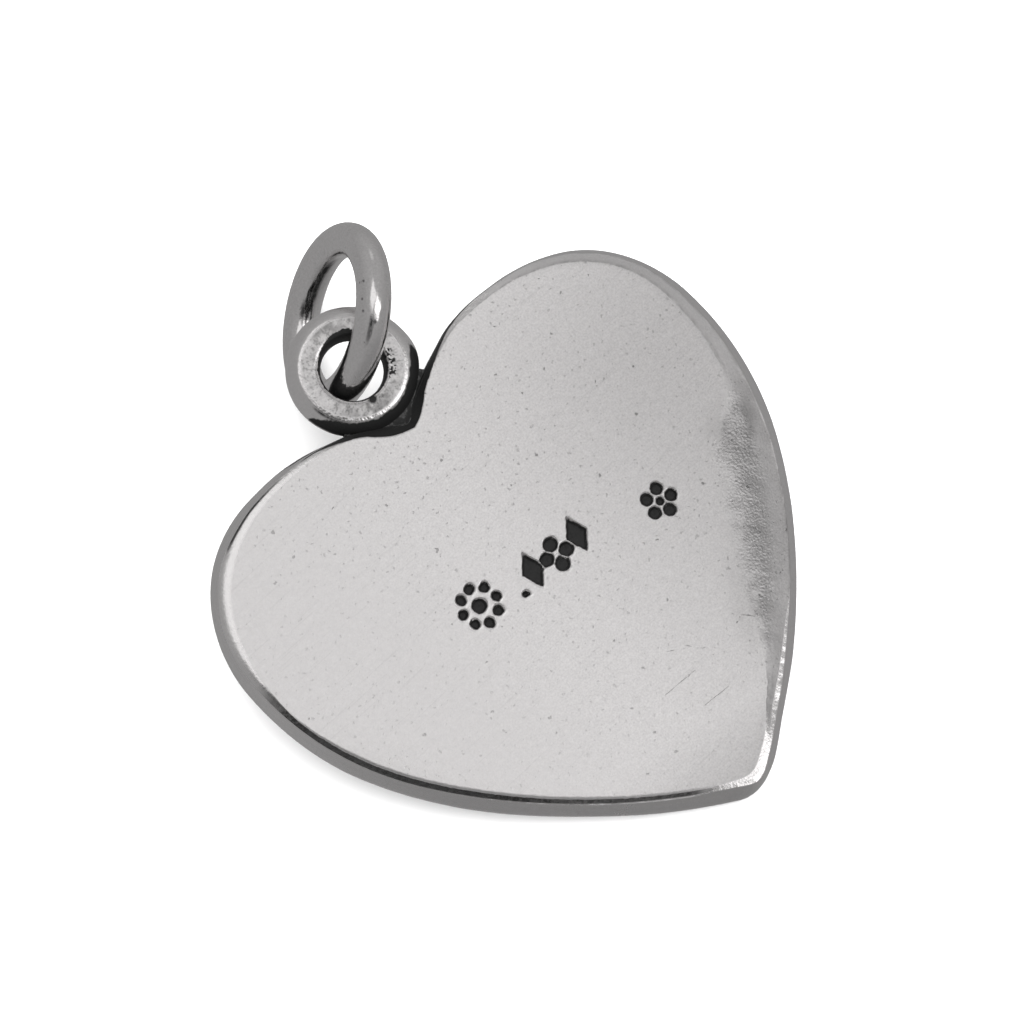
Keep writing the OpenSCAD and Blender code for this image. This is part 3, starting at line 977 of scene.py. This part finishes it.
def floor():
    """A level square of one face round the origin."""
    mesh = bpy.data.meshes.new("floor")
    corners = [(-FLOOR_HALF, -FLOOR_HALF, 0.0), (FLOOR_HALF, -FLOOR_HALF, 0.0),
               (FLOOR_HALF, FLOOR_HALF, 0.0), (-FLOOR_HALF, FLOOR_HALF, 0.0)]
    mesh.from_pydata(corners, [], [(0, 1, 2, 3)])
    material = bpy.data.materials.new("floor_white")
    material.use_nodes = True
    shader = material.node_tree.nodes["Principled BSDF"]
    shader.inputs["Base Color"].default_value = grey(FLOOR_WHITE)
    shader.inputs["Roughness"].default_value = FLOOR_ROUGH
    mesh.materials.append(material)
    made = bpy.data.objects.new("floor", mesh)
    bpy.context.scene.collection.objects.link(made)
    made.visible_glossy = False
    return made


floor()


# Camera. A long lens looking down at the charm from its front left, turned so that the heart's tip
# points to the lower right.
CAMERA_TARGET = Vector((0.4753, 0.1765, 2.5)) * MM
CAMERA_AZIMUTH = np.radians(-131.05)
CAMERA_ELEVATION = np.radians(69.25)
CAMERA_ROLL = np.radians(-3.27)
CAMERA_DISTANCE = 0.3005

# The lens's focal length and the picture's width, both in the picture's pixels.
LENS_PIXELS = 9480.0
PICTURE_PIXELS = 1024.0


def place_camera():
    """The camera stands off its target by its distance, along the line that its azimuth and elevation
    give, and its picture is turned by the roll."""
    away = Vector((np.cos(CAMERA_ELEVATION) * np.cos(CAMERA_AZIMUTH),
                   np.cos(CAMERA_ELEVATION) * np.sin(CAMERA_AZIMUTH), np.sin(CAMERA_ELEVATION)))
    data = bpy.data.cameras.new("camera")
    data.sensor_width = 36.0
    data.lens = LENS_PIXELS / PICTURE_PIXELS * data.sensor_width
    data.clip_start = 0.01
    data.clip_end = 10.0
    camera = bpy.data.objects.new("camera", data)
    level = away.to_track_quat("Z", "Y").to_matrix().to_4x4()
    roll = Matrix.Rotation(CAMERA_ROLL, 4, "Z")
    camera.matrix_world = Matrix.Translation(CAMERA_TARGET + away * CAMERA_DISTANCE) @ level @ roll
    bpy.context.scene.collection.objects.link(camera)
    bpy.context.scene.camera = camera


place_camera()


# Light. Grey all round for the metal to mirror, darker where the viewer stands and low beyond the
# view's lower edge, with a soft and a bright window overhead and a small lamp to one side; and a
# wide soft light that whitens the floor without showing in the metal.
ROOM_LEVEL = 0.29
LEAST_LEVEL = 0.02
LIGHT_DISTANCE = 0.5

# Discs on the sky, in degrees: azimuth, angle from straight up, inner and outer half angle; and what
# each adds: the pale side, the dark below, the lamp and the viewer.
DISCS = (
    (35.0, 38.0, 5.0, 75.0, 0.065),
    (-112.0, 108.0, 15.0, 68.0, -0.07),
    (41.0, 61.0, 2.0, 9.0, 0.20),
    (-139.0, 26.0, 5.0, 21.0, -0.20),
)

# Windows on the sky, in degrees: azimuth, angle from straight up, turn, half angles down the sky and
# to the side, the edge's half width; and what each adds: the soft one and the bright one.
WINDOWS = (
    (58.0, 9.4, -58.0, 13.8, 14.8, 3.0, 0.53),
    (-51.0, 32.0, -15.0, 16.0, 9.8, 2.5, 1.15),
)


def toward(azimuth, from_zenith):
    """The unit vector at this azimuth and angle from straight up, in degrees."""
    az, down = np.radians(azimuth), np.radians(from_zenith)
    return Vector((np.sin(down) * np.cos(az), np.sin(down) * np.sin(az), np.cos(down)))


def soft_box(name, azimuth, from_zenith, half_angle, radiance):
    """A square area light whose half side spans half_angle, with the power that gives this radiance:
    radiance times pi times its area."""
    side = 2.0 * LIGHT_DISTANCE * np.tan(np.radians(half_angle))
    data = bpy.data.lights.new(name, "AREA")
    data.shape = "SQUARE"
    data.size = side
    data.energy = radiance * np.pi * side * side
    light = bpy.data.objects.new(name, data)
    away = toward(azimuth, from_zenith)
    light.matrix_world = (Matrix.Translation(away * LIGHT_DISTANCE)
                          @ away.to_track_quat("Z", "Y").to_matrix().to_4x4())
    bpy.context.scene.collection.objects.link(light)
    return light


def surroundings():
    """The world as sums of soft shapes on the sky. A disc is 1 inside its inner angle from an axis and
    fades to 0 at its outer angle. A window is a rectangle turned about its axis: 1 inside its half
    angles each way, fading over an edge, and 0 behind."""
    world = bpy.data.worlds.new("studio")
    bpy.context.scene.world = world
    world.use_nodes = True
    tree = world.node_tree
    tree.nodes.clear()
    root = Sock(tree, None)
    way = root.out("ShaderNodeTexCoord", "Generated")

    def along_axis(axis):
        """The cosine of the angle between the way looked and the axis."""
        return way.measure("DOT_PRODUCT", way, tuple(axis))

    def disc(azimuth, from_zenith, inner, outer):
        facing = along_axis(toward(azimuth, from_zenith))
        return facing.step(np.cos(np.radians(outer)), np.cos(np.radians(inner)))

    def window(azimuth, from_zenith, turn, half_down, half_side, edge):
        turn = np.radians(turn)
        down, side = toward(azimuth, from_zenith + 90.0), toward(azimuth + 90.0, 90.0)
        facing = along_axis(toward(azimuth, from_zenith))
        shape = facing.step(0.05, 0.1)
        axes = (np.cos(turn) * down + np.sin(turn) * side, np.cos(turn) * side - np.sin(turn) * down)
        for axis, half in zip(axes, (half_down, half_side)):
            off = root.math("ABSOLUTE", along_axis(axis)) / facing.max(0.05)
            low, high = np.tan(np.radians(half - edge)), np.tan(np.radians(half + edge))
            shape = shape * off.step(high, low)
        return shape

    level = ROOM_LEVEL
    for *shape, adds in DISCS:
        level = level + disc(*shape) * adds
    for *shape, adds in WINDOWS:
        level = level + window(*shape) * adds
    level = level.max(LEAST_LEVEL)
    background = root.out("ShaderNodeBackground", 0, {"Color": tone_colour(root, level)})
    root.node("ShaderNodeOutputWorld", {"Surface": background})


surroundings()
wash = soft_box("floor_wash", azimuth=-10.0, from_zenith=12.0, half_angle=52.0, radiance=3.4)
wash.visible_glossy = False
scene = bpy.context.scene
scene.view_settings.view_transform = "Standard"
